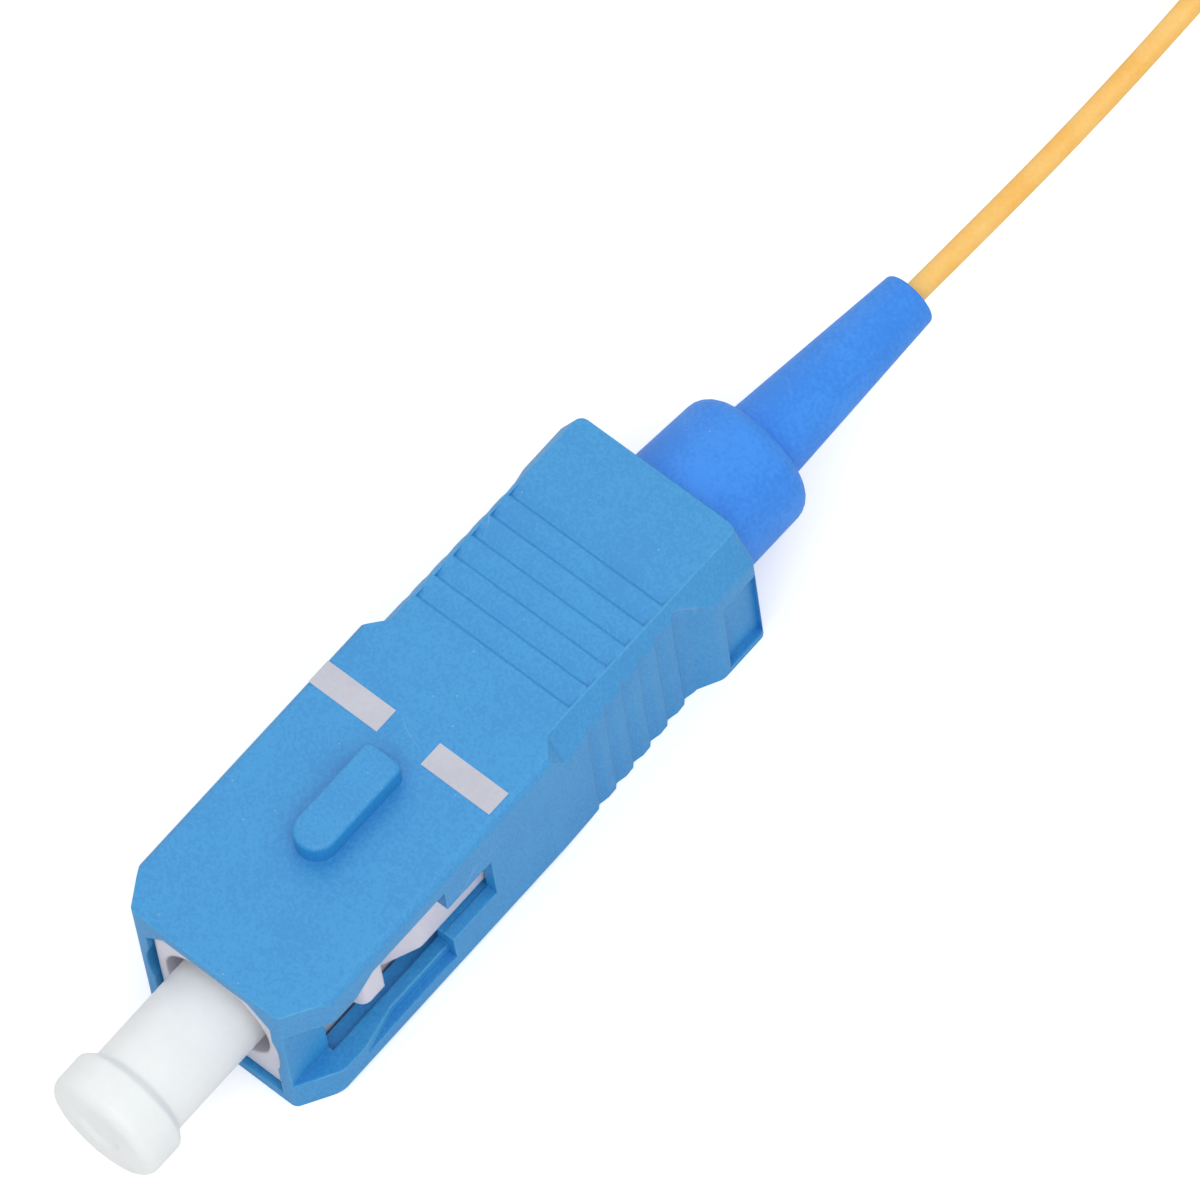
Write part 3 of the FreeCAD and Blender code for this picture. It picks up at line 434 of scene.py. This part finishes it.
def soften(corners, steps=6):
    """Rounds the corners (radius, y, rounding) of a turned outline and returns its points."""
    line = []
    for number, (radius, along, rounding) in enumerate(corners):
        here = Vector((radius, along))
        if rounding == 0 or number in (0, len(corners) - 1):
            line.append(here)
            continue
        before = (Vector(corners[number - 1][:2]) - here).normalized()
        after = (Vector(corners[number + 1][:2]) - here).normalized()
        half = before.angle(after) / 2
        reach = rounding / math.tan(half)
        middle = here + (before + after).normalized() * rounding / math.sin(half)
        start = here + before * reach - middle
        sweep = math.pi - 2 * half
        side = 1 if start.cross(here - middle) > 0 else -1
        for step in range(steps + 1):
            angle = side * sweep * step / steps
            line.append(middle + Vector((
                start.x * math.cos(angle) - start.y * math.sin(angle),
                start.x * math.sin(angle) + start.y * math.cos(angle))))
    return line


def join_rings(work, rings, sides, closed=False):
    """Faces between neighbouring rings of points. A ring of one point is a tip on the axis."""
    pairs = list(zip(rings, rings[1:]))
    if closed:
        pairs.append((rings[-1], rings[0]))
    for first, second in pairs:
        for side in range(sides):
            after = (side + 1) % sides
            corners = [first[side % len(first)], first[after % len(first)],
                       second[after % len(second)], second[side % len(second)]]
            corners = list(dict.fromkeys(corners))
            if len(corners) > 2:
                work.faces.new(corners)


def smooth_piece(name, work, material, body):
    """Makes a bmesh into a smooth piece that rides on a body."""
    bmesh.ops.recalc_face_normals(work, faces=work.faces)
    for face in work.faces:
        face.smooth = True
    mesh = bpy.data.meshes.new(name)
    work.to_mesh(mesh)
    work.free()
    mesh.set_sharp_from_angle(angle=SHARP_ANGLE)
    mesh.materials.append(material)
    piece = bpy.data.objects.new(name, mesh)
    bpy.context.scene.collection.objects.link(piece)
    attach(piece, body)
    return piece


def turned(name, outline, material, body, sides=96, closed=False):
    """A turned piece about the connector's Y axis, from an outline of (radius, y)."""
    work = bmesh.new()
    rings = []
    for radius, along in outline:
        if radius == 0:
            rings.append([work.verts.new((0, along, 0))])
            continue
        rings.append([work.verts.new((radius * math.cos(2 * math.pi * side / sides), along,
                                      radius * math.sin(2 * math.pi * side / sides)))
                      for side in range(sides)])
    join_rings(work, rings, sides, closed)
    return smooth_piece(name, work, material, body)


zirconia = make_finish(
    "zirconia_white", ZIRCONIA_COLOUR, ZIRCONIA_DEEP, clouds=700, fleck=0.2, grain=9000,
    depth=0.000001, gloss=(0.08, 0.16), highlight=ZIRCONIA_HIGHLIGHT, edge_radius=0.00003, highlight_strength=0.2)
ferrule_low, ferrule_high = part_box("ferrule")
ferrule_line = soften([
    (BORE_RADIUS, ferrule_low.y, 0), (TIP_RADIUS, ferrule_low.y, TIP_ROUND),
    (ferrule_high.x, ferrule_low.y + CHAMFER_LENGTH, CHAMFER_ROUND),
    (ferrule_high.x, ferrule_high.y, 0), (BORE_RADIUS, ferrule_high.y, 0)])
ferrule = turned("ferrule_rod", ferrule_line, zirconia, "ferrule_assembly", closed=True)
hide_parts("ferrule")


# Ferrule flange: a turned stainless steel collar pressed on the ferrule, with keyways.
# It holds the ferrule from turning and takes the push of the spring.
STAINLESS_COLOUR = (0.62, 0.60, 0.56, 1)
STAINLESS_DEEP = (0.54, 0.52, 0.48, 1)
# Painted highlight colour for the flange's proud edges.
STAINLESS_HIGHLIGHT = (0.75, 0.73, 0.7, 1)

stainless = make_finish(
    "flange_stainless", STAINLESS_COLOUR, STAINLESS_DEEP, clouds=900, fleck=0.5, grain=12000,
    depth=0.000003, gloss=(0.22, 0.36), highlight=STAINLESS_HIGHLIGHT, edge_radius=0.00005,
    highlight_strength=0.5, specks=0.05, scratches=0.1, plain={"Metallic": 1.0})
dress(nodes["ferrule_flange"], stainless)


# Guide tube and fibre: a soft clear tube behind the ferrule takes the buffered fibre,
# stripped to bare glass where it enters the ferrule.
TUBE_COLOUR = (0.75, 0.77, 0.78, 1)
TUBE_DEEP = (0.70, 0.72, 0.74, 1)
# Painted highlight colour for the tube's proud edges.
TUBE_HIGHLIGHT = (0.8, 0.82, 0.84, 1)
GLASS_COLOUR = (0.55, 0.57, 0.60, 1)
GLASS_DEEP = (0.5, 0.52, 0.56, 1)
# Painted highlight colour for the fibre's proud edges.
GLASS_HIGHLIGHT = (0.6, 0.62, 0.66, 1)

tube_plastic = make_finish(
    "guide_tube_plastic", TUBE_COLOUR, TUBE_DEEP, clouds=800, fleck=0.3, grain=6000,
    depth=0.000004, gloss=(0.3, 0.45), highlight=TUBE_HIGHLIGHT, edge_radius=0.00003, highlight_strength=0.2)
dress(nodes["guide_tube"], tube_plastic)
glass = make_finish(
    "fibre_glass", GLASS_COLOUR, GLASS_DEEP, clouds=3000, fleck=0.2, grain=20000,
    depth=0.0000005, gloss=(0.05, 0.12), highlight=GLASS_HIGHLIGHT, edge_radius=0.000005, highlight_strength=0.1)
dress(nodes["glass_fibre"], glass)
dress(nodes["inner_fibre"], buffer)


# Spring: hard-drawn round stainless wire, open coils between the flange and the stop ring.
# It rests on the stop ring. The real spring is pressed shorter when the ferrule is pushed back; this coil
# is fixed to the plug body and keeps its length.
SPRING_TURNS = 5.5
WIRE_RADIUS = 0.000185
TURN_STEPS, WIRE_SIDES = 36, 12
STEEL_COLOUR = (0.58, 0.57, 0.56, 1)
STEEL_DEEP = (0.48, 0.47, 0.46, 1)
# Painted highlight colour for the wire's proud edges.
STEEL_HIGHLIGHT = (0.7, 0.7, 0.7, 1)

steel = make_finish(
    "spring_steel", STEEL_COLOUR, STEEL_DEEP, clouds=1500, fleck=0.5, grain=15000, depth=0.000003,
    gloss=(0.25, 0.4), highlight=STEEL_HIGHLIGHT, edge_radius=0.00002, highlight_strength=0.3,
    plain={"Metallic": 1.0})
spring_low, spring_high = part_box("spring")
coil_radius = spring_high.x - WIRE_RADIUS
front_turn = spring_low.y + WIRE_RADIUS
rear_turn = spring_high.y - WIRE_RADIUS
along = Vector((0, 1, 0))
work = bmesh.new()
rings = []
steps = round(SPRING_TURNS * TURN_STEPS)
for step in range(steps + 1):
    share = step / steps
    angle = 2 * math.pi * SPRING_TURNS * share
    outward = Vector((math.cos(angle), 0, -math.sin(angle)))
    middle = coil_radius * outward + (front_turn + share * (rear_turn - front_turn)) * along
    ring = []
    for side in range(WIRE_SIDES):
        round_wire = 2 * math.pi * side / WIRE_SIDES
        reach = math.cos(round_wire) * outward + math.sin(round_wire) * along
        ring.append(work.verts.new(middle + WIRE_RADIUS * reach))
    rings.append(ring)
join_rings(work, rings, WIRE_SIDES)
work.faces.new(rings[0])
work.faces.new(rings[-1])
spring = smooth_piece("spring_wire", work, steel, "plug_body")
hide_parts("spring")
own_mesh(spring)


# Stop ring: a turned brass bush, nickel-plated, that snaps into the frame behind the spring.
# Its barrel carries the boot.
PLATED_COLOUR = (0.66, 0.67, 0.69, 1)
PLATED_DEEP = (0.58, 0.59, 0.61, 1)
# Painted highlight colour for the ring's proud edges.
PLATED_HIGHLIGHT = (0.8, 0.8, 0.82, 1)

plated = make_finish(
    "plated_brass", PLATED_COLOUR, PLATED_DEEP, clouds=900, fleck=0.5, grain=9000, depth=0.000003,
    gloss=(0.25, 0.4), highlight=PLATED_HIGHLIGHT, edge_radius=0.00005, highlight_strength=0.4, specks=0.05,
    scratches=0.1, plain={"Metallic": 1.0})
dress(nodes["stop_ring"], plated)


# Boot: a soft blue rubber moulding pushed on the stop ring, with a collar and a tapered tail.
# It leans a few degrees with the lead, and its surface is smoother than the housing's.
BOOT_COLOUR = (0.045, 0.283, 0.860, 1)
BOOT_DEEP = (0.030, 0.238, 0.790, 1)
BOOT_LEAN = math.radians(3.0)
LEAN_PIVOT = Vector((0, 0.014, 0))
BOOT_FRONT, BOOT_TIP = 0.0180, 0.0374
COLLAR_FRONT, COLLAR_EDGE, COLLAR_BACK = 0.0240, 0.0250, 0.0293
NECK_RADIUS, COLLAR_RADIUS, COLLAR_BACK_RADIUS = 0.00255, 0.00295, 0.00280
TAIL_RADIUS, TAIL_TIP_RADIUS = 0.001675, 0.001125
SOCKET_MOUTH_RADIUS, SOCKET_END_RADIUS, LEAD_HOLE_RADIUS = 0.00205, 0.00185, 0.00050
FINE_ROUND, TAIL_ROUND, COLLAR_ROUND = 0.0001, 0.00015, 0.0009

rubber = make_finish(
    "boot_rubber", BOOT_COLOUR, BOOT_DEEP, clouds=380, fleck=1.0, grain=6500, depth=0.000012,
    gloss=(0.45, 0.6), specks=0.18, scratches=0.08,
    plain={"Specular IOR Level": 0.42, "Subsurface Weight": 0.15,
           "Subsurface Radius": (0.0002, 0.0004, 0.0009)})
boot_line = soften([
    (SOCKET_MOUTH_RADIUS, BOOT_FRONT, 0), (NECK_RADIUS, BOOT_FRONT, FINE_ROUND),
    (NECK_RADIUS, COLLAR_FRONT, 0), (COLLAR_RADIUS, COLLAR_FRONT, FINE_ROUND),
    (COLLAR_RADIUS, COLLAR_EDGE, 0), (COLLAR_BACK_RADIUS, COLLAR_BACK, COLLAR_ROUND),
    (TAIL_RADIUS, COLLAR_BACK, TAIL_ROUND), (TAIL_TIP_RADIUS, BOOT_TIP, TAIL_ROUND),
    (LEAD_HOLE_RADIUS, BOOT_TIP, 0), (LEAD_HOLE_RADIUS, COLLAR_FRONT, 0),
    (SOCKET_END_RADIUS, COLLAR_FRONT, 0)])
boot = turned("boot_moulding", boot_line, rubber, "plug_body", closed=True)
lean = (Matrix.Translation(LEAN_PIVOT) @ Matrix.Rotation(-BOOT_LEAN, 4, "Z")
        @ Matrix.Translation(-LEAN_PIVOT))
boot.data.transform(lean)
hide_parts("boot")


# Dust cap: a soft polyethylene sleeve on the ferrule, milky and half clear, with a gripping rim
# and a shallow dish in its closed end. It pulls straight off the front.
CAP_COLOUR = (0.925, 0.950, 0.952, 1)
CAP_DEEP = (0.872, 0.906, 0.913, 1)
DISH_DEPTH, DISH_RADIUS, DISH_EDGE_RADIUS, DISH_ROUND = 0.00015, 0.00075, 0.00095, 0.0002
RIM_LENGTH, RIM_ROUND, RIM_BACK_ROUND = 0.00168, 0.0005, 0.0003
BARREL_FRONT, BARREL_RADIUS, BARREL_ROUND = -0.00415, 0.00198, 0.0001
CAP_BORE_RADIUS, BORE_END, BORE_MOUTH_ROUND = 0.00128, -0.0053, 0.00005

polyethylene = make_finish(
    "cap_polyethylene", CAP_COLOUR, CAP_DEEP, clouds=500, fleck=0.3, grain=3500, depth=0.000001,
    gloss=(0.32, 0.40),
    plain={"Transmission Weight": 0.05, "Subsurface Weight": 0.3,
           "Subsurface Radius": (0.0005, 0.0005, 0.0005)})
cap_low, cap_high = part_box("dust_cap")
cap_line = soften([
    (0, cap_low.y + DISH_DEPTH, 0), (DISH_RADIUS, cap_low.y + DISH_DEPTH, DISH_ROUND),
    (DISH_EDGE_RADIUS, cap_low.y, DISH_ROUND), (cap_high.x, cap_low.y, RIM_ROUND),
    (cap_high.x, cap_low.y + RIM_LENGTH, RIM_BACK_ROUND),
    (BARREL_RADIUS, BARREL_FRONT, RIM_BACK_ROUND), (BARREL_RADIUS, cap_high.y, BARREL_ROUND),
    (CAP_BORE_RADIUS, cap_high.y, BORE_MOUTH_ROUND), (CAP_BORE_RADIUS, BORE_END, BARREL_ROUND),
    (0, BORE_END, 0)])
cap = turned("cap_moulding", cap_line, polyethylene, "cap")
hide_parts("dust_cap")
